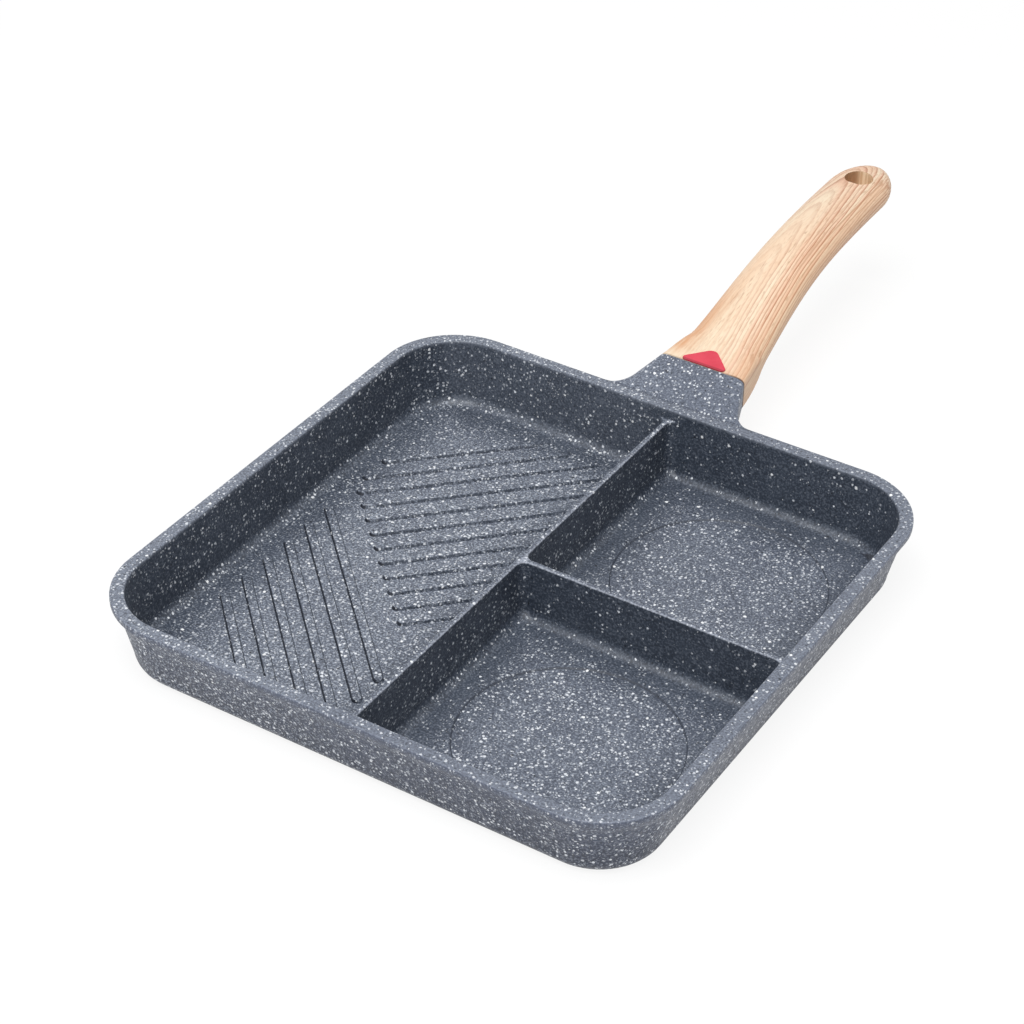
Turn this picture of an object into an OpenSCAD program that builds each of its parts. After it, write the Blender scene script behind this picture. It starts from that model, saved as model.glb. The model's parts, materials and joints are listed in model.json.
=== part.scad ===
// Square frying pan with three compartments and a moulded handle.
// Millimetres, +Z up, handle along +Y, origin at the middle of the base underside.

/* [Pan] */
// Outer width of the square rim
pan_w = 280; // [276:1:284]
// Height from the base to the top of the rim
pan_h = 38; // [36:0.5:40]
// Outer corner radius of the rim
corner_r = 39; // [37:0.5:42]
// Width of the flat band on top of the rim
rim_w = 6.5; // [6:0.1:7.5]
// Upright height of the rim's outer edge
lip_h = 2.8; // [2:0.1:3.5]
// Overhang of the rim beyond the wall
lip_over = 4; // [3.5:0.1:4.2]
// Height over which the overhang runs back to the wall
lip_slope_h = 6.9; // [5:0.1:8]
// Rounding of the rim's outer top edge
rim_outer_r = 0.7; // [0.4:0.1:1]
// Rounding of the rim's inner top edge
rim_inner_r = 1; // [0.6:0.1:1.4]
// Lean of the outer wall between the lip and the base rounding
wall_lean_out = 4.5; // [4:0.1:5]
// Rounding of the outer edge of the base
base_r = 9; // [8:0.25:10]
// Lean of the inner wall from the rim to the floor
wall_lean_in = 4; // [3.5:0.1:4.5]
// Thickness of the floor
floor_t = 4; // [3.6:0.1:4.5]
// Fillet between floor and walls
floor_fillet = 5; // [4:0.25:6]

/* [Dividers] */
// Thickness of the dividers at the top
divider_t = 2.6; // [2.4:0.1:3.2]
// How far the divider tops lie below the rim
divider_drop = 5; // [4:0.5:7]
// Lean of each divider face from top to floor
divider_lean = 1.8; // [1:0.1:2.2]
// Rounding of the divider tops
divider_round = 1; // [0.6:0.1:1.1]
// Upright corner radius where dividers meet
divider_corner_r = 4.5; // [3.5:0.25:6]

/* [Grill ribs] */
// Width of a rib at the floor
rib_w = 5.1; // [4:0.1:5.4]
// Height of a rib above the floor
rib_h = 1.3; // [0.9:0.1:1.6]
// How far each side of a rib leans in over its height
rib_draft = 0.7; // [0.4:0.1:0.9]
// Spacing between ribs
rib_pitch = 11.45; // [11:0.05:12]
// Number of ribs in the long group
ribs_long = 12; // [10:1:12]
// Number of ribs in the cross group
ribs_cross = 6; // [4:1:6]
// Clear floor between a rib end and the wall at the left and right
rib_side_gap = 11; // [9:0.5:14]
// Clear floor between a rib end and the wall at the back and front
rib_end_gap = 10.5; // [9:0.5:14]
// Clear floor between the cross group and the ends of the long ribs
group_gap = 12.5; // [10:0.5:15]
// Clear floor between the cross group and the long divider
cross_gap = 19; // [15:0.5:22]
// Distance of the first long rib from the pan's rising diagonal
long_first = 126.6; // [125:0.1:128]
// Distance of the first cross rib from the pan's falling diagonal
cross_first = 128.6; // [127:0.1:130]

/* [Round recesses] */
// Radius of the round floor recess in each small compartment
recess_r = 50.5; // [46:0.5:52]
// Depth of the recess
recess_d = 0.8; // [0.4:0.1:1]
// Width of the sloped edge of the recess
recess_slope = 0.7; // [0.4:0.1:1.2]

/* [Bracket] */
// Length of the bracket from the rim to the handle
bracket_l = 25; // [22:0.5:28]
// Rise of the bracket's top over that length
bracket_rise = 7.9; // [6.9:0.2:9.1]
// Angle at which each side of the bracket widens towards the wall
bracket_taper = 20; // [17:1:22]
// Radius that flares the bracket into the rim
bracket_flare = 14.5; // [12:0.5:17]
// Rounding of the long edges where the bracket meets the handle
bracket_edge_r = 2; // [1.6:0.2:2.8]
// Length of the tang inside the handle
tang_l = 25; // [20:1:28]
// Width of the tang
tang_w = 18; // [14:1:20]
// Height of the tang
tang_h = 8.5; // [8:0.5:9]

/* [Handle] */
// Length of the handle from the bracket to its tip
handle_l = 191; // [182:1:202]
// Width of the handle at the bracket
handle_root_w = 46.8; // [43.8:1:49.8]
// Width of the grip
handle_w = 32.8; // [30.8:0.5:35.3]
// Thickness of the grip
handle_t = 18.8; // [17.8:0.5:20.8]
// Thickness near the tip
handle_tip_t = 18; // [16:0.5:18.5]
// Rise of the handle's middle line from root to tip
handle_rise = 28.7; // [22.7:1:32.7]
// Length of the rounded tip
tip_l = 26; // [20:0.5:30]
// Diameter of the hanging hole
hang_w = 15; // [14.5:0.5:16]
// Length of the hole from the short flat at its root side to its far end
hang_l = 14.5; // [12:0.5:14.5]
// Distance from the hole's flat to the tip
hang_back = 31.5; // [30:0.5:33]

/* [Thumb marker] */
// Width of the marker along the bracket
marker_w = 23; // [19:0.5:24]
// Length of the marker along the handle
marker_l = 12.4; // [10.4:0.5:14.4]
// Radius of the marker's two corners at the bracket
marker_r = 1.8; // [1.4:0.1:2.5]
// Radius of the marker's outer corner
marker_tip_r = 4; // [3:0.25:5]
// How far the marker stands above the handle
marker_proud = 0.5; // [0.3:0.1:0.8]

/* [Base grooves] */
// Radius of the smallest turned groove in the base
groove_first = 12; // [8:1:16]
// Spacing between the grooves
groove_pitch = 8; // [7:0.5:9]
// Number of grooves
groove_count = 12; // [8:1:13]
// Depth of a groove
groove_d = 0.3; // [0.2:0.05:0.5]

/* [Screw] */
// Radius of the screw's shank
screw_r = 2; // [1.8:0.1:2.4]
// Radius of the screw's head
screw_head_r = 3.6; // [3.2:0.1:3.8]
// Height of the screw's head
screw_head_h = 2; // [1.6:0.1:2.2]
// Distance of the screw from the bracket
screw_back = 15; // [12:0.5:18]

/* [Fits] */
// Seam between the bracket and the handle
seam = 0.3; // [0.2:0.05:0.4]
// Clearance around the tang
tang_clear = 0.25; // [0.15:0.05:0.4]
// Clearance around the marker
marker_clear = 0.12; // [0.1:0.02:0.2]
// Clearance around the screw
screw_clear = 0.15; // [0.1:0.05:0.25]

/* [Hidden] */
$fn = 64;

// Segments of one rounded corner, of one fillet, and of one handle ring
corner_n = 12;
fillet_n = 6;
ring_n = 40;

half_w = pan_w / 2;
inner_half = half_w - rim_w;
inner_corner_r = corner_r - rim_w;
divider_z = pan_h - divider_drop;
joint_y = half_w + bracket_l;
tip_y = joint_y + handle_l;

// Middle of the handle section at the bracket, measured from the rim plane
root_b = handle_t / 2 - 0.2;
root_z = pan_h + bracket_rise - root_b;
tang_z = root_z - 0.2;
bracket_low = root_z - root_b;

// Squareness of the section at the bracket and at the grip, and the share of the handle between them
root_p = 18;
grip_p = 2.3;
root_l = 0.144;

// Points of an arc about c from angle a to angle b in n steps
function arc(c, r, a, b, n) = [for (i = [0:n]) c + r * [cos(a + (b - a) * i / n), sin(a + (b - a) * i / n)]];

// Half widths of the inside and of the dividers at height z
function wall_at(z) = inner_half - wall_lean_in * (pan_h - z) / (pan_h - floor_t);
function divider_at(z) = divider_t / 2 + divider_lean * (divider_z - z) / (divider_z - floor_t);

// One level of a rounded rectangle; r lists the corner radii from +X+Y anticlockwise
function level(x0, x1, y0, y1, r, z) =
    let (c = [[x1 - r[0], y1 - r[0]], [x0 + r[1], y1 - r[1]], [x0 + r[2], y0 + r[2]], [x1 - r[3], y0 + r[3]]])
    [for (k = [0:3]) for (p = arc(c[k], r[k], 90 * k, 90 * k + 90, corner_n)) [p[0], p[1], z]];

// Solid through a list of levels that all have the same number of points
module loft(levels) {
    n = len(levels[0]);
    m = len(levels);
    points = [for (l = levels) for (p = l) p];
    sides = [for (i = [0:m - 2]) for (j = [0:n - 1])
        let (a = i * n + j, b = i * n + (j + 1) % n)
        for (f = [[a, a + n, b], [b, a + n, b + n]]) f];
    bottom = [for (j = [0:n - 1]) j];
    top = [for (j = [n - 1:-1:0]) (m - 1) * n + j];
    polyhedron(points, concat(sides, [bottom, top]));
}

// Outer section of the pan from the base up, as [inset from the rim, height]
function wall_section() =
    let (foot = lip_over + wall_lean_out)
    concat(
        arc([foot + base_r, base_r], base_r, 270, 180, 8),
        [
            [lip_over, pan_h - lip_h - lip_slope_h],
            [lip_over * 0.12, pan_h - lip_h - lip_slope_h * 0.12],
            [0, pan_h - lip_h]
        ],
        arc([rim_outer_r, pan_h - rim_outer_r], rim_outer_r, 180, 90, 4)
    );

// Body with a rounded-square plan and the same section all the way round
module swept_square(section, r) {
    straight = pan_w - 2 * r;
    for (turn = [0, 90])
        rotate([90, 0, turn])
            linear_extrude(straight, center = true)
                polygon(concat(
                    [for (p = section) [half_w - p[0], p[1]]],
                    [for (i = [len(section) - 1:-1:0]) [section[i][0] - half_w, section[i][1]]]
                ));
    for (k = [0:3])
        rotate([0, 0, 90 * k])
            translate([straight / 2, straight / 2, 0])
                rotate_extrude(angle = 90)
                    polygon(concat(
                        [[0, section[0][1]]],
                        [for (p = section) [r - p[0], p[1]]],
                        [[0, section[len(section) - 1][1]]]
                    ));
}

// Opening above the dividers, with the rounded inner edge of the rim
module rim_opening() {
    function opening(half, z) =
        let (r = inner_corner_r - inner_half + half)
        level(-half, half, -half, half, [r, r, r, r], z);
    edge = wall_at(pan_h - rim_inner_r);
    loft(concat(
        [opening(wall_at(divider_z), divider_z)],
        [for (i = [0:4])
            let (a = 90 * i / 4)
            opening(edge + rim_inner_r * (1 - cos(a)), pan_h - rim_inner_r * (1 - sin(a)))],
        [opening(edge + rim_inner_r, pan_h + 1)]
    ));
}

// Heights of the cavity levels with the fillet inset of each
function cavity_levels() = concat(
    [for (i = [0:fillet_n])
        let (a = 90 * i / fillet_n)
        [floor_t + floor_fillet * (1 - cos(a)), floor_fillet * (1 - sin(a)), 0]],
    [for (i = [0:3])
        let (a = 75 * i / 3)
        [divider_z - divider_round * (1 - sin(a) / sin(75)), 0, divider_round * (1 - cos(a))]]
);

// One compartment; each list says for the low and the high side whether a wall bounds it or a divider
module compartment(x_walls, y_walls) {
    function side(wall, z, inset, flare) = wall ? wall_at(z) - inset : divider_at(z) + inset - flare;
    function radius(both_walls, z, inset) = both_walls
        ? inner_corner_r - inner_half + wall_at(z) - inset
        : divider_corner_r + inset * 0.6;
    function cavity(z, inset, flare, shrink) =
        let (
            x0 = x_walls[0] ? -side(true, z, inset, 0) + shrink : side(false, z, inset, flare) + shrink,
            x1 = x_walls[1] ? side(true, z, inset, 0) - shrink : -side(false, z, inset, flare) - shrink,
            y0 = y_walls[0] ? -side(true, z, inset, 0) + shrink : side(false, z, inset, flare) + shrink,
            y1 = y_walls[1] ? side(true, z, inset, 0) - shrink : -side(false, z, inset, flare) - shrink
        )
        level(x0, x1, y0, y1, [
            radius(x_walls[1] && y_walls[1], z, inset),
            radius(x_walls[0] && y_walls[1], z, inset),
            radius(x_walls[0] && y_walls[0], z, inset),
            radius(x_walls[1] && y_walls[0], z, inset)
        ], z + shrink);
    loft(concat(
        [for (l = cavity_levels()) cavity(l[0], l[1], l[2], 0)],
        [cavity(divider_z, 0, divider_round * (1 - cos(75)), 0.6)]
    ));
}

// Raised bar with leaning sides and round ends along the direction a, offset o sideways, from s to e
module rib(a, o, s, e) {
    sunk = 0.5;
    low = rib_w / 2 + rib_draft * sunk / rib_h;
    high = rib_w / 2 - rib_draft;
    rotate([0, 0, a])
        translate([s, o, floor_t - sunk]) {
            rotate([90, 0, 90])
                linear_extrude(e - s)
                    polygon([[-low, 0], [low, 0], [high, rib_h + sunk], [-high, rib_h + sunk]]);
            for (end = [0, e - s])
                translate([end, 0, 0]) cylinder(r1 = low, r2 = high, h = rib_h + sunk, $fn = 24);
        }
}

// Both groups of ribs, which meet at a right angle across the large compartment
module ribs() {
    d = sqrt(2);
    left = rib_side_gap + rib_w / 2 - wall_at(floor_t);
    long_right = -divider_at(floor_t) - rib_side_gap - rib_w / 2;
    cross_right = -divider_at(floor_t) - cross_gap - rib_w / 2;
    back = wall_at(floor_t) - rib_end_gap - rib_w / 2;
    meet = (ribs_cross - 1) * rib_pitch - cross_first + group_gap + rib_w;
    for (i = [0:ribs_long - 1]) {
        o = long_first - i * rib_pitch;
        rib(45, o, max(left * d + o, meet), min(back * d - o, long_right * d + o));
    }
    for (i = [0:ribs_cross - 1]) {
        o = i * rib_pitch - cross_first;
        rib(-45, o, left * d - o, min(back * d + o, cross_right * d - o));
    }
}

// Shallow round recess with a sloped edge in the floor of a small compartment
module recess(y) {
    middle = (wall_at(floor_t) + divider_at(floor_t)) / 2;
    over = 1.4;
    translate([middle, y * middle, floor_t - recess_d])
        rotate_extrude()
            polygon([
                [0, 0],
                [recess_r - recess_slope, 0],
                [recess_r + (over - 1) * recess_slope, over * recess_d],
                [0, over * recess_d]
            ]);
}

// Ring of the bracket or handle section in the plane across the middle line
function super(v, p) = sign(v) * pow(abs(v), 2 / p);
function section_ring(y, z, a, b, p, r, slope) = [for (j = [0:ring_n - 1])
    let (t = -360 * j / ring_n, u = (b - r) * super(sin(t), p) + r * sin(t))
    [(a - r) * super(cos(t), p) + r * cos(t), y - u * sin(slope), z + u * cos(slope)]];

// Half width of the bracket's straight part, and the height of its top, at y
function bracket_side(y) = handle_root_w / 2 + tan(bracket_taper) * (joint_y - y);
function bracket_top(y) = pan_h - 0.1 + (bracket_rise + 0.1) * max(0, y - half_w) / bracket_l;

// Filled underside between the flares, which takes the bracket's full height to the wall
module bracket_root() {
    half = handle_root_w / 2;
    low = bracket_low + 0.4;
    high = pan_h - lip_h;
    translate([0, half_w + bracket_flare, 0])
        rotate([90, 0, 0])
            linear_extrude(bracket_flare + 8)
                polygon(concat(
                    [[half, high], [-half, high]],
                    arc([bracket_edge_r - half, low + bracket_edge_r], bracket_edge_r, 180, 270, 4),
                    arc([half - bracket_edge_r, low + bracket_edge_r], bracket_edge_r, 270, 360, 4)
                ));
}

// Bracket that grows out of the back wall and ends at the handle, with a flare under the rim on each side
module bracket() {
    flare_end = half_w + bracket_flare * (1 - sin(bracket_taper));
    flare_x = bracket_side(flare_end) + bracket_flare * cos(bracket_taper);
    flare_low = pan_h - lip_h - 0.6;
    steps = 9;
    sections = concat(
        [[half_w - 1.5, flare_x, flare_low]],
        [for (i = [0:steps])
            let (a = (90 - bracket_taper) * i / steps)
            [
                half_w + bracket_flare * (1 - cos(a)),
                flare_x - bracket_flare * sin(a),
                flare_low - (flare_low - bracket_low) * pow(i / steps, 1.5)
            ]],
        [[joint_y, handle_root_w / 2, bracket_low]]
    );
    loft([for (s = sections)
        let (b = (bracket_top(s[0]) - s[2]) / 2)
        section_ring(s[0], s[2] + b, s[1], b, root_p, min(bracket_edge_r, 0.8 * b), 0)]);
    bracket_root();
}

// Tang that carries the handle
module tang(grow) {
    translate([-tang_w / 2 - grow, joint_y - 2, tang_z - tang_h / 2 - grow])
        cube([tang_w + 2 * grow, tang_l + 2 + grow, tang_h + 2 * grow]);
}

// Turned grooves in the base
module grooves() {
    rotate_extrude()
        for (i = [0:groove_count - 1])
            translate([groove_first + i * groove_pitch, 0])
                polygon([[-2 * groove_d, -groove_d], [2 * groove_d, -groove_d], [0, groove_d]]);
}

module pan_body() {
    color("#6d7581")
        difference() {
            union() {
                difference() {
                    union() {
                        swept_square(wall_section(), corner_r);
                        bracket();
                        tang(0);
                    }
                    rim_opening();
                    compartment([true, false], [true, true]);
                    compartment([false, true], [false, true]);
                    compartment([false, true], [true, false]);
                }
                ribs();
            }
            recess(1);
            recess(-1);
            grooves();
            translate([0, joint_y + screw_back, tang_z - tang_h / 2 - 1])
                cylinder(r = screw_r + screw_clear, h = tang_h, $fn = 24);
        }
}

// Handle shape along its length, u from 0 at the bracket to 1 at the tip
function handle_z(u) = root_z + handle_rise * (1 - exp(-pow(max(0, u) / 0.358, 1.83)));
function handle_slope(u) = atan((handle_z(u + 0.01) - handle_z(u - 0.01)) / (0.02 * handle_l));
function handle_cap(u) =
    let (k = max(0, (u * handle_l - handle_l + tip_l) / tip_l))
    pow(max(0, 1 - pow(k, 1.9)), 1 / 1.9);
function handle_a(u) =
    let (spread = pow(max(0, 1 - u / 0.638), 2.15))
    (handle_w / 2 + (handle_root_w - handle_w) / 2 * spread) * handle_cap(u);
function handle_b(u) =
    let (swell = 0.4 * sin(180 * min(1, u * 1.2)) - 0.2)
    (handle_t / 2 + swell - (handle_t - handle_tip_t) / 2 * u * u) * pow(handle_cap(u), 0.6);
function handle_p(u) = grip_p + (root_p - grip_p) * pow(max(0, 1 - u / root_l), 1.5);
function handle_ring(u) =
    let (r = bracket_edge_r * max(0, 1 - u / root_l))
    section_ring(joint_y + u * handle_l, handle_z(u), handle_a(u), handle_b(u), handle_p(u), r, handle_slope(u));

module handle_solid() {
    body_n = 34;
    tip_n = 12;
    u_tip = 1 - tip_l / handle_l;
    loft(concat(
        [for (i = [0:body_n]) handle_ring(seam / handle_l + (u_tip - seam / handle_l) * i / body_n)],
        [for (i = [1:tip_n]) handle_ring(u_tip + (1 - u_tip) * sin(88 * i / tip_n))]
    ));
}

// Rounded triangle of the thumb marker, lying along the bracket
module marker_shape(grow) {
    side = marker_w / 2 - marker_r;
    rise = marker_l - marker_tip_r - marker_r;
    n = 8;
    slant = 180 - atan(rise / side) - acos((marker_r - marker_tip_r) / sqrt(side * side + rise * rise));
    polygon(concat(
        arc([side, marker_r], marker_r + grow, -90, slant, n),
        arc([0, marker_l - marker_tip_r], marker_tip_r + grow, slant, 180 - slant, n),
        arc([-side, marker_r], marker_r + grow, 180 - slant, 270, n)
    ));
}

module marker_block(grow, low, high) {
    top_z = handle_z(0) + handle_b(0);
    slope = atan((handle_z(marker_l / handle_l) + handle_b(marker_l / handle_l) - top_z) / marker_l);
    translate([0, joint_y + seam, top_z])
        rotate([slope, 0, 0])
            translate([0, marker_clear, low])
                linear_extrude(high - low) marker_shape(grow);
}

module hanging_hole() {
    r = hang_w / 2;
    translate([0, tip_y - hang_back, handle_z(1) - handle_t])
        linear_extrude(2 * handle_t)
            intersection() {
                translate([0, hang_l - r]) circle(r);
                translate([-r, 0]) square([hang_w, hang_l]);
            }
}

module handle() {
    seat_z = handle_z(0) - handle_b(0) + 4;
    color("#f2d6b0")
        difference() {
            handle_solid();
            tang(tang_clear);
            marker_block(marker_clear, -1.6, 6);
            hanging_hole();
            translate([0, joint_y + screw_back, 0]) {
                cylinder(r = screw_head_r + 2 * screw_clear, h = seat_z);
                cylinder(r = screw_r + screw_clear, h = tang_z, $fn = 24);
            }
        }
}

module thumb_marker() {
    color("#e0425a")
        marker_block(0, -1.6, marker_proud);
}

module handle_screw() {
    seat_z = handle_z(0) - handle_b(0) + 4;
    color("silver")
        translate([0, joint_y + screw_back, seat_z])
            difference() {
                union() {
                    translate([0, 0, -screw_head_h]) cylinder(r = screw_head_r, h = screw_head_h);
                    cylinder(r = screw_r, h = tang_z + 2 - seat_z, $fn = 24);
                }
                for (turn = [0, 90])
                    rotate([0, 0, turn])
                        translate([-0.45, -2, -screw_head_h - 1]) cube([0.9, 4, 2.2]);
            }
}

pan_body();
handle();
thumb_marker();
handle_screw();
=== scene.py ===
import json
import math
from types import SimpleNamespace

import bpy
from mathutils import Matrix, Vector

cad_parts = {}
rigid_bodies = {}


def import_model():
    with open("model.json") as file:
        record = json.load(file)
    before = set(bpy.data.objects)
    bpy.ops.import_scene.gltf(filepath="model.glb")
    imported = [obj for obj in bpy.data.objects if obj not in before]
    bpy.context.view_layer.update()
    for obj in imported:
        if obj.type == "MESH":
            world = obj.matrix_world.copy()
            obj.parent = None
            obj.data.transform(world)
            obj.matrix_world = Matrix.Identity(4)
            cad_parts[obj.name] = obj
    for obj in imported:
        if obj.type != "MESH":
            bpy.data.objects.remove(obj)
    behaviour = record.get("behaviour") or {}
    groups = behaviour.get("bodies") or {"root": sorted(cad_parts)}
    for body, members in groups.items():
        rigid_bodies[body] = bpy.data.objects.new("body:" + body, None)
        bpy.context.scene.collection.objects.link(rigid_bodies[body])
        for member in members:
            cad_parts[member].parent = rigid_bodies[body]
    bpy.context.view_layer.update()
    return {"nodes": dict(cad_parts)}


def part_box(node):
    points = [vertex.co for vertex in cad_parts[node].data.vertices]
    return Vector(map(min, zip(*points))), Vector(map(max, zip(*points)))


# The scene starts empty
for stray in list(bpy.data.objects):
    bpy.data.objects.remove(stray)

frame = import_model()
nodes = frame["nodes"]
scene = bpy.context.scene

MM = 0.001

# Camera solved from the photograph: place, and the directions of its right, up and back
IMAGE_PX = 1024
FOCAL_PX = 2635.7
SENSOR_MM = 36.0
CAMERA_AT = (0.48796, -0.80200, 0.73558)
CAMERA_RIGHT = (0.845674, 0.533455, 0.016177)
CAMERA_UP = (-0.323423, 0.488132, 0.810633)
CAMERA_BACK = (0.424539, -0.690763, 0.585332)

# The pan: half widths of the whole, the floor and a divider, and heights of floor, dividers and rim
PAN_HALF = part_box("pan_body")[1][0]
FLOOR_HALF = PAN_HALF - 10.5 * MM
DIVIDER_HALF = 3.1 * MM
FLOOR_Z = 4.0 * MM
DIVIDER_Z = 33.0 * MM
RIM_Z = 38.0 * MM

# Centre of the rounded corners, and the distance from it at which the outer wall has begun
CORNER_AT = FLOOR_HALF - 44.0 * MM
OUTSIDE_R = 45.0 * MM

# Clear strip beside walls and dividers in which nothing counts as a rib or a recess
STRIP = 6.0 * MM

# The handle: its ends, then its middle line and its widening towards the bracket, as in the part's source
JOINT_Y = PAN_HALF + 25.0 * MM
TIP_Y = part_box("handle")[1][1]
HANDLE_L = TIP_Y - JOINT_Y
ROOT_Z = 36.7 * MM
HANDLE_RISE = 28.7 * MM
RISE_SHARE = 0.358
RISE_POWER = 1.83
ROOT_WIDER = 0.427
ROOT_SHARE = 0.638
ROOT_POWER = 2.15

# Centre and radius of the hanging hole
HOLE_Y = TIP_Y - 24.5 * MM
HOLE_R = 7.5 * MM

# Directions that the sides of the ribs face, as x and y of their normals
FRONT_RIGHT = (0.86, -0.5)
FRONT_LEFT = (-0.5, -0.86)
LEFTWARD = (-0.86, -0.5)

# Shading: how near vertices are welded, the bend in degrees that stays sharp, and the weight of large faces
WELD_WITHIN = 0.002 * MM
SHARP_BEND = 32
HANDLE_SHARP_BEND = 40
FACE_WEIGHT = 60

# Places of factor, A and B, and of the result, among the sockets of Blender's Mix node
MIX_COLOUR_INPUTS = (0, 6, 7)
MIX_COLOUR_OUTPUT = 2
MIX_NUMBER_INPUTS = (0, 2, 3)
MIX_NUMBER_OUTPUT = 0

# The white ground: half its width, its grey, and the glow that takes this share of it where it is seen
GROUND_HALF = 4.0
GROUND_GREY = 0.9
GROUND_GLOW = 1.03
GROUND_GLOW_SHARE = 0.86

# The world's strength as a light, and the one lamp
WORLD_STRENGTH = 0.42
KEY_AT = (0.15, -0.75, 2.0)
KEY_TARGET = (0, 0.05, 0)
KEY_SIZE = 1.2
KEY_WATTS = 40


class Graph:
    """Short calls that add nodes to one material or world."""

    def __init__(self, owner):
        owner.use_nodes = True
        self.tree = owner.node_tree
        self.tree.nodes.clear()

    def add(self, kind, **values):
        node = self.tree.nodes.new(kind)
        for key, value in values.items():
            setattr(node, key, value)
        return node

    def put(self, value, socket):
        if isinstance(value, bpy.types.NodeSocket):
            self.tree.links.new(value, socket)
        else:
            socket.default_value = value

    def math(self, operation, *values):
        node = self.add("ShaderNodeMath", operation=operation)
        for value, socket in zip(values, node.inputs):
            self.put(value, socket)
        return node.outputs[0]

    def times(self, first, *others):
        for other in others:
            first = self.math("MULTIPLY", first, other)
        return first

    def plus(self, a, b):
        return self.math("ADD", a, b)

    def minus(self, a, b):
        return self.math("SUBTRACT", a, b)

    def linear(self, value, factor, start):
        """The start plus the value times the factor."""
        return self.math("MULTIPLY_ADD", value, factor, start)

    def most(self, a, b):
        return self.math("MAXIMUM", a, b)

    def least(self, a, b):
        return self.math("MINIMUM", a, b)

    def above(self, value, limit):
        return self.math("GREATER_THAN", value, limit)

    def below(self, value, limit):
        return self.math("LESS_THAN", value, limit)

    def magnitude(self, value):
        return self.math("ABSOLUTE", value)

    def vector(self, operation, a, b):
        node = self.add("ShaderNodeVectorMath", operation=operation)
        self.put(a, node.inputs[0])
        self.put(b, node.inputs["Scale" if operation == "SCALE" else 1])
        return node.outputs["Value" if operation == "DISTANCE" else "Vector"]

    def remap(self, value, low, high, to_low=0.0, to_high=1.0):
        """A soft step from to_low to to_high while the value goes from low to high."""
        node = self.add("ShaderNodeMapRange", interpolation_type="SMOOTHSTEP")
        node.clamp = True
        inputs = {"Value": value, "From Min": low, "From Max": high, "To Min": to_low, "To Max": to_high}
        for name, item in inputs.items():
            self.put(item, node.inputs[name])
        return node.outputs["Result"]

    def mix(self, factor, a, b):
        """Colour a where the factor is 0, and colour b where it is 1."""
        return self.mixed("RGBA", (factor, a, b), MIX_COLOUR_INPUTS, MIX_COLOUR_OUTPUT)

    def tint(self, colour, tone, share, where):
        """Mixes a share of a tone into a colour, where a mask is 1."""
        return self.mix(self.times(where, share), colour, tone)

    def blend(self, factor, a, b):
        """Number a where the factor is 0, and number b where it is 1."""
        return self.mixed("FLOAT", (factor, a, b), MIX_NUMBER_INPUTS, MIX_NUMBER_OUTPUT)

    def mixed(self, data_type, values, inputs, output):
        node = self.add("ShaderNodeMix", data_type=data_type)
        for value, index in zip(values, inputs):
            self.put(value, node.inputs[index])
        return node.outputs[output]

    def noise(self, vector, scale=1.0, detail=2.0, rough=0.5, colour=False):
        node = self.add("ShaderNodeTexNoise", noise_dimensions="3D")
        self.put(vector, node.inputs["Vector"])
        node.inputs["Scale"].default_value = scale
        node.inputs["Detail"].default_value = detail
        node.inputs["Roughness"].default_value = rough
        return node.outputs["Color" if colour else "Fac"]

    def sway(self, vector, scale=1.0, detail=2.0, rough=0.5):
        """Three noises round zero, as one vector."""
        noise = self.noise(vector, scale, detail, rough, colour=True)
        return self.vector("SUBTRACT", noise, (0.5, 0.5, 0.5))

    def cells(self, vector, scale):
        """Distance to the middle of a cell, and three random numbers of that cell."""
        node = self.add("ShaderNodeTexVoronoi", voronoi_dimensions="3D", feature="F1")
        self.put(vector, node.inputs["Vector"])
        node.inputs["Scale"].default_value = scale
        split = self.add("ShaderNodeSeparateColor")
        self.put(node.outputs["Color"], split.inputs[0])
        return node.outputs["Distance"], split.outputs[0], split.outputs[1], split.outputs[2]

    def split(self, vector):
        node = self.add("ShaderNodeSeparateXYZ")
        self.put(vector, node.inputs[0])
        return node.outputs[:3]

    def join(self, x, y, z):
        node = self.add("ShaderNodeCombineXYZ")
        for value, socket in zip((x, y, z), node.inputs):
            self.put(value, socket)
        return node.outputs[0]

    def bump(self, height, distance, strength):
        node = self.add("ShaderNodeBump")
        self.put(height, node.inputs["Height"])
        node.inputs["Distance"].default_value = distance
        node.inputs["Strength"].default_value = strength
        return node.outputs[0]

    def surface(self, colour, roughness, normal, specular=0.5):
        shader = self.add("ShaderNodeBsdfPrincipled")
        self.put(colour, shader.inputs["Base Color"])
        self.put(roughness, shader.inputs["Roughness"])
        self.put(normal, shader.inputs["Normal"])
        shader.inputs["Specular IOR Level"].default_value = specular
        out = self.add("ShaderNodeOutputMaterial")
        self.put(shader.outputs[0], out.inputs["Surface"])
        return shader

    def coords(self):
        node = self.add("ShaderNodeTexCoord")
        return node.outputs["Object"], node.outputs["Normal"]


def srgb(r, g, b):
    """A display colour, 0 to 255, as the linear colour a shader takes."""
    def linear(c):
        c /= 255
        return c / 12.92 if c <= 0.04045 else ((c + 0.055) / 1.055) ** 2.4
    return (linear(r), linear(g), linear(b), 1.0)


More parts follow.
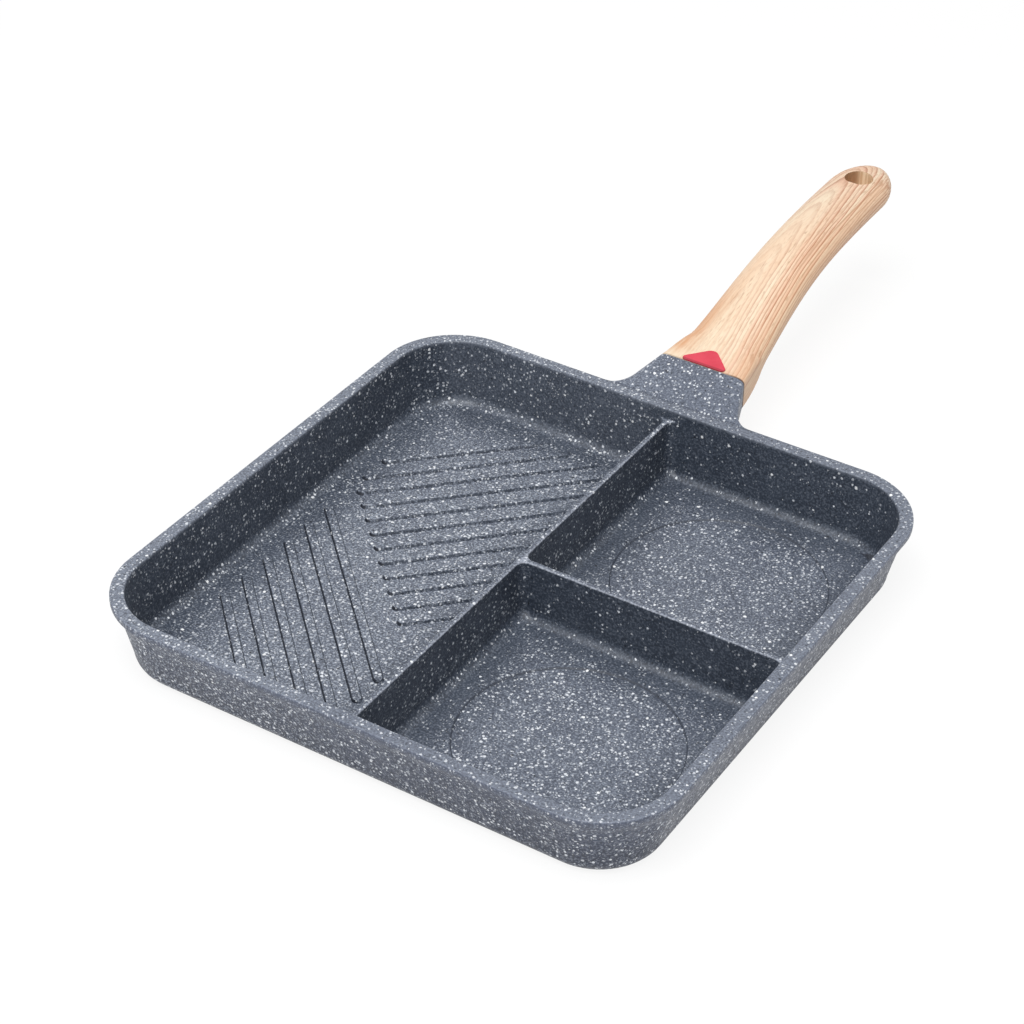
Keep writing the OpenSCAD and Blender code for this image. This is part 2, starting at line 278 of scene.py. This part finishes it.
# Tones of the coating; where there are two, a noise mixes them. It is one coating: the wall, outer, floor,
# rim, lip and bracket tones are lit and shaded copies of it, painted light and shade
COAT_WALL_SHADED = (srgb(47, 55, 68), srgb(57, 65, 78))
COAT_OUTER = (srgb(54, 63, 84), srgb(62, 71, 92))
COAT_FLOOR_LIT = (srgb(76, 83, 98), srgb(87, 94, 108))
COAT_OUTER_LOW_SHADE = srgb(34, 38, 52)
COAT_FLOOR_LEFT_LIT = srgb(128, 135, 148)
COAT_FLOOR_RIGHT_LIT = srgb(128, 135, 150)
COAT_WALL_BACK_LIT = srgb(150, 158, 174)
COAT_RIM_LIT = srgb(142, 149, 163)
COAT_BRACKET_SHADED = srgb(84, 92, 109)
COAT_CREASE_SHADE = srgb(52, 60, 76)
COAT_GRAIN = srgb(18, 22, 30)
COAT_MIST = srgb(165, 173, 186)
COAT_RIB_SHADE = srgb(22, 26, 36)
COAT_STEP_SHADE = srgb(48, 54, 66)
COAT_DIVIDER_HIGHLIGHT = srgb(190, 196, 210)
COAT_LIP_LIT = srgb(128, 135, 152)
COAT_FOOT_SHADE = srgb(40, 39, 40)
FLECK_DARK = srgb(26, 30, 38)
FLECK_FINE = srgb(202, 207, 214)
FLECK_MIDDLE = srgb(226, 230, 236)
FLECK_LARGE = srgb(243, 245, 247)
FLECK_BLACK = srgb(28, 32, 40)

# Tones of the wood, its lines and the hanging hole, with painted shade on the right, in the root's left
# flare, at the seam and in the hole
WOOD = (srgb(243, 224, 197), srgb(240, 211, 182))
WOOD_BAND = srgb(229, 176, 148)
WOOD_THREAD = srgb(226, 184, 147)
WOOD_RIGHT_TONE_AND_SHADE = srgb(218, 172, 132)
WOOD_FLARE_SHADE = srgb(216, 158, 114)
WOOD_HAIR = srgb(182, 130, 94)
WOOD_LINE = srgb(170, 112, 80)
WOOD_DASH = srgb(170, 126, 90)
WOOD_PORE = srgb(196, 150, 112)
WOOD_SEAM_SHADE = srgb(70, 50, 42)
WOOD_HOLE = (srgb(222, 188, 150), srgb(250, 222, 188))
WOOD_HOLE_SHADE = srgb(170, 130, 97)

# Tones of the marker and the screw, and painted shade on the marker's front
MARKER = (srgb(209, 59, 79), srgb(220, 71, 90))
MARKER_SPECK = srgb(240, 130, 140)
MARKER_FRONT_SHADE = srgb(140, 36, 50)
STEEL = (srgb(170, 172, 176), srgb(200, 202, 205))

# Kinds of fleck: cells per metre, smallest and largest radius in cells, width of the soft edge in cells
DARK_FLECKS = (700, 0.14, 0.46, 0.10)
FINE_FLECKS = (860, 0.18, 0.48, 0.10)
MIDDLE_FLECKS = (540, 0.14, 0.42, 0.08)
LARGE_FLECKS = (210, 0.06, 0.19, 0.04)
BLACK_FLECKS = (340, 0.04, 0.22, 0.06)
MARKER_SPECKS = (420, 0.05, 0.30, 0.10)

# Noises of the wood: cells per metre across and along the handle, and a shift that sets each apart
WANDER = (90, 22, 0.0)
DRIFT = (22, 9, 3.0)
FIBRE = (1300, 45, 0.0)
THREADS = (800, 10, 7.0)
HAIRS = (1000, 7, 17.0)
DASHES = (1900, 170, 11.0)
DASH_ROWS = (300, 8, 23.0)
PORES = (1500, 260, 31.0)
TONE = (110, 14, 5.0)

# Growth rings: their pitch, and how far their axis is left of and above the handle's middle line and rises
RING_PITCH = 1.4 * MM
RING_AXIS_LEFT = 7.0 * MM
RING_AXIS_ABOVE = 19.0 * MM
RING_AXIS_RISE = 11.0 * MM


def dots(g, vector, kind, share, faintest=1.0):
    """Round flecks: one in a share of the cells, each with its own radius and strength."""
    per_metre, smallest, largest, soft = kind
    distance, pick, size, power = g.cells(vector, per_metre)
    edge = g.linear(size, largest - smallest, smallest)
    inside = g.remap(distance, g.minus(edge, soft), edge, 1.0, 0.0)
    return g.times(inside, g.blend(power, faintest, 1.0), g.below(pick, share))


def facing(g, spot, direction):
    """How far a surface faces a direction given as x and y."""
    return g.linear(spot.nx, direction[0], g.times(spot.ny, direction[1]))


def open_floor(g, spot):
    """How open a place is, and its distance on the floor from the nearest wall or divider.

    Openness is 1 on the open floor, the rim and the outside, and less inside beside a wall or a divider.
    """
    wide = g.magnitude(spot.x)
    long = g.magnitude(spot.y)
    to_wall = g.minus(FLOOR_HALF, g.most(wide, long))
    to_long_divider = g.minus(wide, DIVIDER_HALF)
    # The short divider ends at the long one, so left of it a metre is added to its distance
    to_short_divider = g.plus(g.below(spot.x, 0.0), g.minus(long, DIVIDER_HALF))
    near = g.least(to_wall, g.least(to_long_divider, to_short_divider))
    inside = g.times(g.above(to_wall, -5.0 * MM), g.below(spot.z, DIVIDER_Z - 0.7 * MM))
    return g.most(g.remap(near, 2.0 * MM, 34.0 * MM), g.minus(1.0, inside)), near


def outer_wall(g, spot):
    """1 on the outer walls: past a rounded square round the floor, and facing outwards."""
    outward = g.linear(spot.nx, spot.x, g.times(spot.ny, spot.y))
    past_x = g.most(g.minus(g.magnitude(spot.x), CORNER_AT), 0.0)
    past_y = g.most(g.minus(g.magnitude(spot.y), CORNER_AT), 0.0)
    past = g.math("SQRT", g.linear(past_x, past_x, g.times(past_y, past_y)))
    return g.times(g.above(outward, 0.010), g.above(past, OUTSIDE_R))


def pan_regions(g):
    """The place on the pan, its normal, and masks from 0 to 1 for the parts that look different; several
    masks also paint light and shade.
    """
    spot = SimpleNamespace()
    spot.place, normal = g.coords()
    spot.x, spot.y, spot.z = g.split(spot.place)
    spot.nx, spot.ny, spot.nz = g.split(normal)
    openness, spot.near = open_floor(g, spot)
    spot.up = g.remap(spot.nz, 0.30, 0.95)
    spot.outside = outer_wall(g, spot)
    turned_out = g.times(spot.outside, g.remap(spot.nz, 0.6, 0.3))
    spot.top = g.times(g.remap(spot.z, RIM_Z - 2.0 * MM, RIM_Z - 1.0 * MM), g.minus(1.0, turned_out))
    spot.bracket = g.times(spot.top, g.remap(spot.y, PAN_HALF - 1.5 * MM, PAN_HALF + 0.5 * MM))

    # How densely the pale spray covers a place. The same mask paints light and shade: open floor facing up
    # gets the lit floor tone, and walls and the floor beside them get painted shade
    spray = g.times(spot.up, g.blend(openness, 0.18, 1.0))
    spray = g.most(spray, g.times(spot.outside, 0.66))
    # Painted light: the rib sides facing the front right get patches of the lit floor tone
    lit_rib_front = g.remap(facing(g, spot, FRONT_RIGHT), 0.3, 0.6)
    lit_rib_front = g.times(lit_rib_front, g.below(spot.z, FLOOR_Z + 2.0 * MM), g.above(spot.near, 8.0 * MM))
    patchy = g.remap(g.noise(spot.place, 600, detail=1.0), 0.45, 0.60, 0.20, 0.75)
    spot.spray = g.most(spray, g.times(lit_rib_front, patchy))
    # Painted light: the open floor of the large left compartment, made lighter below and given more and
    # brighter pale flecks
    spot.left = g.times(g.remap(spot.x, 10.0 * MM, -30.0 * MM), spot.spray)
    # Painted shade: inside the right compartments, away from the lit floor, fewer pale flecks
    right_inside = g.times(g.above(spot.x, 6.0 * MM), g.minus(1.0, spot.outside))
    spot.sparse = g.times(right_inside, g.remap(spot.spray, 0.5, 0.2))

    spot.cloud = g.remap(g.noise(spot.place, 35, detail=3.0, rough=0.55), 0.35, 0.65)
    spot.grain = g.noise(spot.place, 1000, detail=1.5, rough=0.6)
    return spot


def coating_tones(g, spot):
    """The coating under its flecks: walls, outer walls, floors, rim and bracket, as lit and shaded copies
    of one coating tone, which is painted light and shade.
    """
    wall = g.mix(spot.cloud, *COAT_WALL_SHADED)
    # Painted light: the back wall of the large compartment and its foot made lighter
    back = g.times(g.remap(spot.y, 120.0 * MM, 127.0 * MM), g.remap(spot.x, 0.0, -20.0 * MM))
    wall = g.tint(wall, COAT_WALL_BACK_LIT, 0.11, back)

    outer = g.mix(spot.cloud, *COAT_OUTER)
    # Painted shade: the outer walls darker towards the bottom
    outer = g.tint(outer, COAT_OUTER_LOW_SHADE, 0.40, g.remap(spot.z, RIM_Z - 8.0 * MM, 4.0 * MM))

    floor = g.mix(spot.cloud, *COAT_FLOOR_LIT)
    # Painted light: both compartments' floors lifted towards a lighter tone
    floor = g.tint(floor, COAT_FLOOR_LEFT_LIT, 0.22, spot.left)
    floor = g.tint(floor, COAT_FLOOR_RIGHT_LIT, 0.09, g.remap(spot.x, 3.0 * MM, 12.0 * MM))

    # Painted light and shade: the lit floor tone on open floor facing up, the shaded wall tone on walls and
    # beside them
    base = g.mix(spot.spray, wall, floor)
    base = g.mix(g.times(spot.outside, g.minus(1.0, spot.up)), base, outer)
    # Painted light: the rim's top, which faces up, lighter
    base = g.tint(base, COAT_RIM_LIT, 0.24, spot.top)
    # Painted shade: the bracket's top darker than the rim
    return g.tint(base, COAT_BRACKET_SHADED, 0.50, spot.bracket)


def bracket_crease_shade(g, spot, base):
    """Painted shade: a faint dark crease line between the rim and the bracket."""
    across = g.remap(g.magnitude(spot.x), 48.0 * MM, 36.0 * MM)
    inner_side = g.remap(spot.y, PAN_HALF - 2.0 * MM, PAN_HALF - 1.0 * MM)
    outer_side = g.remap(spot.y, PAN_HALF + 1.0 * MM, PAN_HALF)
    crease_shade = g.times(inner_side, outer_side, spot.top, across)
    return g.tint(base, COAT_CREASE_SHADE, 0.55, crease_shade)


def coating_grain(g, spot, base):
    """Fine dark grain and pale mist over the tones; the mist is denser on lit open floor, as part of the
    painted light.
    """
    base = g.tint(base, COAT_GRAIN, 0.425, g.remap(spot.grain, 0.49, 0.34))
    density = g.linear(spot.left, 0.24, g.blend(spot.spray, 0.16, 0.42))
    mist = g.times(g.remap(spot.grain, 0.50, 0.64), density, g.linear(spot.top, -0.45, 1.0))
    return g.mix(mist, base, COAT_MIST)


def rib_shade_mask(g, spot):
    """Painted shade on the sides of the ribs that face the pan's front left, and on the left shoulders of
    the cross group.
    """
    off_walls = g.above(spot.near, STRIP)
    foot = g.remap(spot.z, FLOOR_Z + 0.6 * MM, FLOOR_Z + 1.1 * MM, 1.0, 0.0)
    side = g.times(g.remap(facing(g, spot, FRONT_LEFT), 0.15, 0.45), off_walls)
    side = g.times(side, g.above(spot.z, FLOOR_Z + 0.05 * MM), foot)
    shoulder = g.times(g.remap(facing(g, spot, LEFTWARD), 0.02, 0.20), g.above(spot.z, FLOOR_Z + 0.02 * MM))
    shoulder = g.times(shoulder, off_walls, g.below(spot.z, FLOOR_Z + 1.6 * MM))
    return g.most(side, g.times(shoulder, 0.8))


def recess_step_shade(g, spot, base):
    """Painted shade on the small step round each recess in the floor."""
    step = g.times(g.below(spot.z, FLOOR_Z - 0.05 * MM), g.remap(spot.nz, 0.93, 0.80))
    return g.tint(base, COAT_STEP_SHADE, 0.70, g.times(step, g.above(spot.near, STRIP)))


def coating_flecks(g, spot, base, rib_shade):
    """Dark and pale flecks in five sizes; also returns the middle ones, which stand proud."""
    bent = g.vector("ADD", spot.place, g.vector("SCALE", g.sway(spot.place, 1500, detail=1.0), 0.9 * MM))
    shifted = g.vector("ADD", bent, (0.3, 0.1, 0.2))

    # Painted light and shade: pale flecks are more and brighter on lit open floor, and fewer in painted
    # shade on walls and rib sides
    share = g.linear(spot.left, 0.18, g.blend(spot.spray, 0.40, 0.61))
    share = g.times(share, g.linear(spot.sparse, -0.62, 1.0), g.linear(rib_shade, -0.6, 1.0))
    fine_share = g.times(share, g.linear(spot.top, -0.5, 1.0))
    large_share = g.times(share, g.linear(spot.bracket, 0.35, g.linear(spot.top, 0.25, 0.72)))
    faintest = g.linear(spot.outside, 0.20, g.linear(spot.left, 0.15, g.blend(spot.spray, 0.42, 0.44)))

    dark = dots(g, shifted, DARK_FLECKS, g.blend(spot.spray, 0.20, 0.60), 0.30)
    fine = dots(g, bent, FINE_FLECKS, fine_share, 0.25)
    middle = dots(g, bent, MIDDLE_FLECKS, share, faintest)
    large = dots(g, bent, LARGE_FLECKS, large_share, 0.8)
    black = dots(g, bent, BLACK_FLECKS, 0.26)

    colour = g.tint(base, FLECK_DARK, 0.72, dark)
    colour = g.mix(g.times(fine, g.blend(spot.spray, 0.62, 0.90)), colour, FLECK_FINE)
    colour = g.mix(middle, colour, FLECK_MIDDLE)
    colour = g.mix(large, colour, FLECK_LARGE)
    return g.mix(black, colour, FLECK_BLACK), middle


def divider_edge_highlights(g, spot, colour):
    """Painted highlight on the lit edge of each divider's top, towards the pan's right or front."""
    ridge = g.remap(spot.z, DIVIDER_Z - 1.2 * MM, DIVIDER_Z - 0.5 * MM)
    ridge = g.times(ridge, g.below(spot.z, DIVIDER_Z + 0.5 * MM))
    long_edge = g.times(g.remap(spot.x, 0.4 * MM, 1.0 * MM), g.below(spot.x, 4.0 * MM))
    short_edge = g.times(g.remap(spot.y, -0.4 * MM, -1.0 * MM), g.above(spot.y, -4.0 * MM))
    short_edge = g.times(short_edge, g.above(spot.x, 0.0))
    edge = g.times(g.most(long_edge, short_edge), ridge, g.remap(spot.grain, 0.36, 0.60, 0.45, 1.0))
    return g.tint(colour, COAT_DIVIDER_HIGHLIGHT, 0.50, g.times(edge, g.remap(spot.nz, 0.2, 0.7)))


def outer_edges(g, spot, colour):
    """Painted light on the rim's upright edge, and painted shade on the outer wall's turned-under foot."""
    lit_lip = g.times(g.remap(spot.z, RIM_Z - 3.0 * MM, RIM_Z - 2.6 * MM), spot.outside)
    colour = g.tint(colour, COAT_LIP_LIT, 0.22, lit_lip)
    # Painted shade: the outer wall's turned-under foot darkened
    foot = g.times(g.remap(spot.z, 2.4 * MM, 1.2 * MM), spot.outside)
    return g.tint(colour, COAT_FOOT_SHADE, 0.75, foot)


def speckled_coating():
    material = bpy.data.materials.new("speckled_coating_detail")
    g = Graph(material)
    spot = pan_regions(g)
    base = coating_tones(g, spot)
    base = bracket_crease_shade(g, spot, base)
    base = coating_grain(g, spot, base)
    rib_shade = rib_shade_mask(g, spot)
    # Painted shade: the rib sides darkened, broken up by the grain
    base = g.mix(g.times(rib_shade, g.remap(spot.grain, 0.65, 0.40, 0.80, 1.0)), base, COAT_RIB_SHADE)
    base = recess_step_shade(g, spot, base)
    colour, proud = coating_flecks(g, spot, base, rib_shade)
    colour = divider_edge_highlights(g, spot, colour)
    colour = outer_edges(g, spot, colour)

    relief = g.plus(g.noise(spot.place, 700), g.times(proud, 0.6))
    roughness = g.remap(g.noise(spot.place, 260), 0.3, 0.7, 0.40, 0.55)
    g.surface(colour, roughness, g.bump(relief, 0.05 * MM, 0.5))
    return material


def handle_spot(g):
    """The place in the handle, straightened: u from root to tip, across and lift from the middle line."""
    spot = SimpleNamespace()
    spot.place, normal = g.coords()
    spot.x, spot.y, spot.z = g.split(spot.place)
    spot.nz = g.split(normal)[2]
    spot.u = g.math("DIVIDE", g.minus(spot.y, JOINT_Y), HANDLE_L)
    bend = g.math("POWER", g.most(g.math("DIVIDE", spot.u, RISE_SHARE), 0.0), RISE_POWER)
    risen = g.minus(1.0, g.math("EXPONENT", g.times(bend, -1.0)))
    spot.lift = g.minus(spot.z, g.linear(risen, HANDLE_RISE, ROOT_Z))
    root = g.math("POWER", g.most(g.minus(1.0, g.math("DIVIDE", spot.u, ROOT_SHARE)), 0.0), ROOT_POWER)
    spot.across = g.math("DIVIDE", spot.x, g.linear(root, ROOT_WIDER, 1.0))
    spot.right = g.remap(spot.across, -7.0 * MM, 10.0 * MM)
    spot.tip = g.remap(spot.u, 0.45, 0.85)
    return spot


def stretched(g, spot, kind):
    """Coordinates for one of the wood's noises, drawn out along the handle."""
    fine, long, shift = kind
    return g.join(g.times(spot.across, fine), g.linear(spot.y, long, shift), g.times(spot.lift, fine))


def growth_rings(g, spot, fibre):
    """Dark lines of the growth rings, a random number for each ring, and the place within the ring.

    The rings run round an axis above the left of the handle. It rises towards the tip, where they close
    to arches.
    """
    wander = g.split(g.sway(stretched(g, spot, WANDER), rough=0.55))
    drift = g.split(g.sway(stretched(g, spot, DRIFT), detail=1.0))
    side = g.linear(spot.u, 2.0 * MM, g.plus(spot.across, RING_AXIS_LEFT))
    side = g.plus(g.linear(drift[0], 5.0 * MM, side), g.times(wander[0], 2.0 * MM))
    arch = g.math("POWER", g.most(g.minus(spot.u, 0.05), 0.0), 1.3)
    above = g.minus(g.linear(arch, RING_AXIS_RISE, RING_AXIS_ABOVE), spot.lift)
    above = g.plus(above, g.linear(drift[1], 3.0 * MM, g.times(wander[1], 1.2 * MM)))
    radius = g.math("SQRT", g.plus(g.times(side, side), g.times(above, above)))
    phase = g.plus(g.math("DIVIDE", radius, RING_PITCH), g.times(fibre, 0.28))
    within = g.math("FRACT", phase)
    own = g.add("ShaderNodeTexWhiteNoise", noise_dimensions="1D")
    g.put(g.math("FLOOR", phase), own.inputs["W"])
    number = own.outputs["Value"]

    line = g.times(g.remap(within, 0.45, 0.88), g.remap(within, 0.92, 1.0, 1.0, 0.0))
    line = g.times(line, g.blend(number, 0.35, 1.0), g.remap(fibre, 0.25, 0.55, 0.55, 1.0))
    marked = g.most(g.linear(spot.right, 0.70, 0.20), g.times(spot.tip, 0.78))
    marked = g.times(marked, g.remap(spot.u, 0.0, 0.25, 0.35, 1.0))
    return g.times(line, marked), number, within


def wood_tones(g, spot, threads, number, within):
    """The wood under its lines, warmer in some rings and in threads, darker on the right partly by its tone
    and partly by painted shade, and with painted shade in the root's left flare.
    """
    tone = g.noise(stretched(g, spot, TONE))
    colour = g.mix(g.remap(tone, 0.35, 0.65), *WOOD)
    band = g.times(number, g.remap(within, 0.0, 0.6, 0.25, 0.7))
    colour = g.mix(g.times(band, g.most(spot.tip, spot.right)), colour, WOOD_BAND)
    colour = g.tint(colour, WOOD_THREAD, 0.40, g.remap(threads, 0.45, 0.75))
    # Partly the wood's warmer tone and partly painted shade: the right side darker
    colour = g.tint(colour, WOOD_RIGHT_TONE_AND_SHADE, 0.45, g.remap(spot.across, 8.0 * MM, 16.5 * MM))
    # Painted shade: a darker band in the concave flare at the root's left, broken up by the threads
    flare_shade = g.times(g.remap(spot.u, 0.0, 0.07), g.remap(spot.u, 0.38, 0.18))
    flare_shade = g.times(flare_shade, g.remap(spot.across, -5.0 * MM, -13.0 * MM))
    return g.mix(g.times(flare_shade, g.remap(threads, 0.30, 0.60, 0.45, 0.85)), colour, WOOD_FLARE_SHADE)


def wood_hairs(g, spot, colour):
    """Long thin hairs on the right of the handle."""
    where = g.times(g.remap(spot.across, 1.0 * MM, 13.0 * MM), g.remap(spot.u, 0.02, 0.16, 0.3, 1.0))
    hairs = g.remap(g.noise(stretched(g, spot, HAIRS), detail=1.0), 0.52, 0.62)
    return g.tint(colour, WOOD_HAIR, 0.60, g.times(hairs, where))


def wood_dashes(g, spot, colour):
    """Short dashes in rows along the grain, and pores."""
    dashes = g.remap(g.noise(stretched(g, spot, DASHES), detail=1.0), 0.58, 0.70)
    rows = g.remap(g.noise(stretched(g, spot, DASH_ROWS), detail=1.0), 0.46, 0.58)
    dashes = g.times(dashes, rows, g.remap(spot.u, 0.04, 0.30, 0.35, 1.0))
    colour = g.tint(colour, WOOD_DASH, 0.50, dashes)
    pores = g.remap(g.noise(stretched(g, spot, PORES), detail=1.0), 0.50, 0.68)
    return g.tint(colour, WOOD_PORE, 0.22, pores)


def wood_seam_shade(g, spot, colour):
    """Painted shade: the dark line where the wood meets the bracket, darkest on the right."""
    along = g.remap(spot.y, JOINT_Y + 1.5 * MM, JOINT_Y + 0.4 * MM)
    seam_shade = g.times(along, g.remap(spot.x, 12.0 * MM, 21.0 * MM, 0.42, 0.95))
    return g.mix(seam_shade, colour, WOOD_SEAM_SHADE)


def hanging_hole(g, spot, colour):
    """Striped walls in the hanging hole, with painted shade darkening them on the left."""
    from_hole = g.vector("DISTANCE", g.join(spot.x, spot.y, 0.0), (0.0, HOLE_Y, 0.0))
    hole = g.times(g.below(from_hole, HOLE_R + 0.2 * MM), g.remap(spot.nz, 0.7, 0.4))
    stripes = g.noise(g.vector("MULTIPLY", spot.place, (900, 900, 60)), detail=1.0)
    wall = g.mix(g.remap(stripes, 0.35, 0.65), *WOOD_HOLE)
    # Painted shade: the hole's wall darker on the left
    wall = g.mix(g.remap(spot.x, -1.0 * MM, -5.0 * MM), wall, WOOD_HOLE_SHADE)
    return g.mix(hole, colour, wall)


def wood_grain():
    material = bpy.data.materials.new("wood_grain_detail")
    g = Graph(material)
    spot = handle_spot(g)
    fibre = g.noise(stretched(g, spot, FIBRE), rough=0.6)
    threads = g.noise(stretched(g, spot, THREADS), detail=3.0, rough=0.65)
    line, number, within = growth_rings(g, spot, fibre)

    colour = wood_tones(g, spot, threads, number, within)
    colour = wood_hairs(g, spot, colour)
    colour = g.mix(line, colour, WOOD_LINE)
    colour = wood_dashes(g, spot, colour)
    colour = wood_seam_shade(g, spot, colour)
    colour = hanging_hole(g, spot, colour)

    normal = g.bump(g.plus(line, fibre), 0.04 * MM, 0.35)
    g.surface(colour, 0.5, normal, specular=0.4)
    return material


def red_marker():
    material = bpy.data.materials.new("red_marker_detail")
    g = Graph(material)
    place, _ = g.coords()
    y = g.split(place)[1]
    colour = g.mix(g.remap(g.noise(place, 90, detail=3.0), 0.3, 0.7), *MARKER)
    specks = dots(g, place, MARKER_SPECKS, 0.12)
    colour = g.tint(colour, MARKER_SPECK, 0.35, specks)
    # Painted shade: the marker's front edge, towards the bracket, darker
    front = g.remap(y, JOINT_Y + 2.2 * MM, JOINT_Y + 1.3 * MM)
    colour = g.tint(colour, MARKER_FRONT_SHADE, 0.65, front)
    roughness = g.remap(g.noise(place, 500), 0.3, 0.7, 0.42, 0.55)
    normal = g.bump(g.noise(place, 1600), 0.02 * MM, 0.4)
    g.surface(colour, roughness, normal, specular=0.4)
    return material


def screw_steel():
    material = bpy.data.materials.new("screw_steel_detail")
    g = Graph(material)
    place, _ = g.coords()
    turned = g.noise(g.vector("MULTIPLY", place, (300, 300, 6000)))
    colour = g.mix(g.remap(turned, 0.3, 0.7), *STEEL)
    roughness = g.remap(turned, 0.3, 0.7, 0.28, 0.42)
    shader = g.surface(colour, roughness, g.bump(turned, 0.01 * MM, 0.5))
    shader.inputs["Metallic"].default_value = 1.0
    return material


def smooth(obj, sharp_bend):
    """Rounds the shading of the facets; the mesh itself stays as packed."""
    mesh = obj.data
    for name in ("custom_normal", "sharp_edge", "sharp_face"):
        if name in mesh.attributes:
            mesh.attributes.remove(mesh.attributes[name])
    weld = obj.modifiers.new("weld", "WELD")
    weld.merge_threshold = WELD_WITHIN
    split = obj.modifiers.new("edges", "EDGE_SPLIT")
    split.split_angle = math.radians(sharp_bend)
    split.use_edge_sharp = False
    normals = obj.modifiers.new("normals", "WEIGHTED_NORMAL")
    normals.mode = "FACE_AREA"
    normals.weight = FACE_WEIGHT
    normals.keep_sharp = False


def dress(node, material, sharp_bend=SHARP_BEND):
    """Gives a CAD node its material and smooth shading up to a bend."""
    obj = nodes[node]
    obj.data.materials.clear()
    obj.data.materials.append(material)
    smooth(obj, sharp_bend)


def make_camera():
    data = bpy.data.cameras.new("camera")
    data.sensor_fit = "HORIZONTAL"
    data.sensor_width = SENSOR_MM
    data.lens = SENSOR_MM * FOCAL_PX / IMAGE_PX
    camera = bpy.data.objects.new("camera", data)
    scene.collection.objects.link(camera)
    turn = Matrix((CAMERA_RIGHT, CAMERA_UP, CAMERA_BACK)).transposed().to_4x4()
    camera.matrix_world = Matrix.Translation(Vector(CAMERA_AT)) @ turn
    scene.camera = camera


def floor_white():
    """A floor that takes shadows, and that the camera sees nearly as white as the photo's background."""
    material = bpy.data.materials.new("floor_white")
    g = Graph(material)
    path = g.add("ShaderNodeLightPath")
    diffuse = g.add("ShaderNodeBsdfDiffuse")
    diffuse.inputs["Color"].default_value = (GROUND_GREY, GROUND_GREY, GROUND_GREY, 1)
    glow = g.add("ShaderNodeEmission")
    glow.inputs["Strength"].default_value = GROUND_GLOW
    seen = g.most(path.outputs["Is Camera Ray"], path.outputs["Is Glossy Ray"])
    mixer = g.add("ShaderNodeMixShader")
    g.put(g.times(seen, GROUND_GLOW_SHARE), mixer.inputs[0])
    g.put(diffuse.outputs[0], mixer.inputs[1])
    g.put(glow.outputs[0], mixer.inputs[2])
    out = g.add("ShaderNodeOutputMaterial")
    g.put(mixer.outputs[0], out.inputs["Surface"])
    return material


def make_floor():
    mesh = bpy.data.meshes.new("floor")
    signs = ((-1, -1), (1, -1), (1, 1), (-1, 1))
    mesh.from_pydata([(a * GROUND_HALF, b * GROUND_HALF, 0) for a, b in signs], [], [(0, 1, 2, 3)])
    mesh.materials.append(floor_white())
    floor = bpy.data.objects.new("floor", mesh)
    scene.collection.objects.link(floor)


def make_world():
    """White where it is seen or mirrored, and dimmer as a source of light."""
    world = bpy.data.worlds.new("studio")
    scene.world = world
    g = Graph(world)
    path = g.add("ShaderNodeLightPath")
    seen = g.most(path.outputs["Is Glossy Ray"], path.outputs["Is Transmission Ray"])
    seen = g.most(path.outputs["Is Camera Ray"], seen)
    background = g.add("ShaderNodeBackground")
    background.inputs["Color"].default_value = (1, 1, 1, 1)
    g.put(g.blend(seen, WORLD_STRENGTH, 1.0), background.inputs["Strength"])
    out = g.add("ShaderNodeOutputWorld")
    g.put(background.outputs[0], out.inputs["Surface"])


def area_light(name, place, target, size, watts):
    data = bpy.data.lights.new(name, "AREA")
    data.shape = "SQUARE"
    data.size = size
    data.energy = watts
    light = bpy.data.objects.new(name, data)
    scene.collection.objects.link(light)
    light.location = place
    light.rotation_euler = (Vector(target) - Vector(place)).to_track_quat("-Z", "Y").to_euler()


dress("pan_body", speckled_coating())
dress("handle", wood_grain(), HANDLE_SHARP_BEND)
dress("thumb_marker", red_marker())
dress("handle_screw", screw_steel())

make_camera()
make_floor()
make_world()
area_light("key", KEY_AT, KEY_TARGET, KEY_SIZE, KEY_WATTS)

scene.view_settings.view_transform = "Standard"
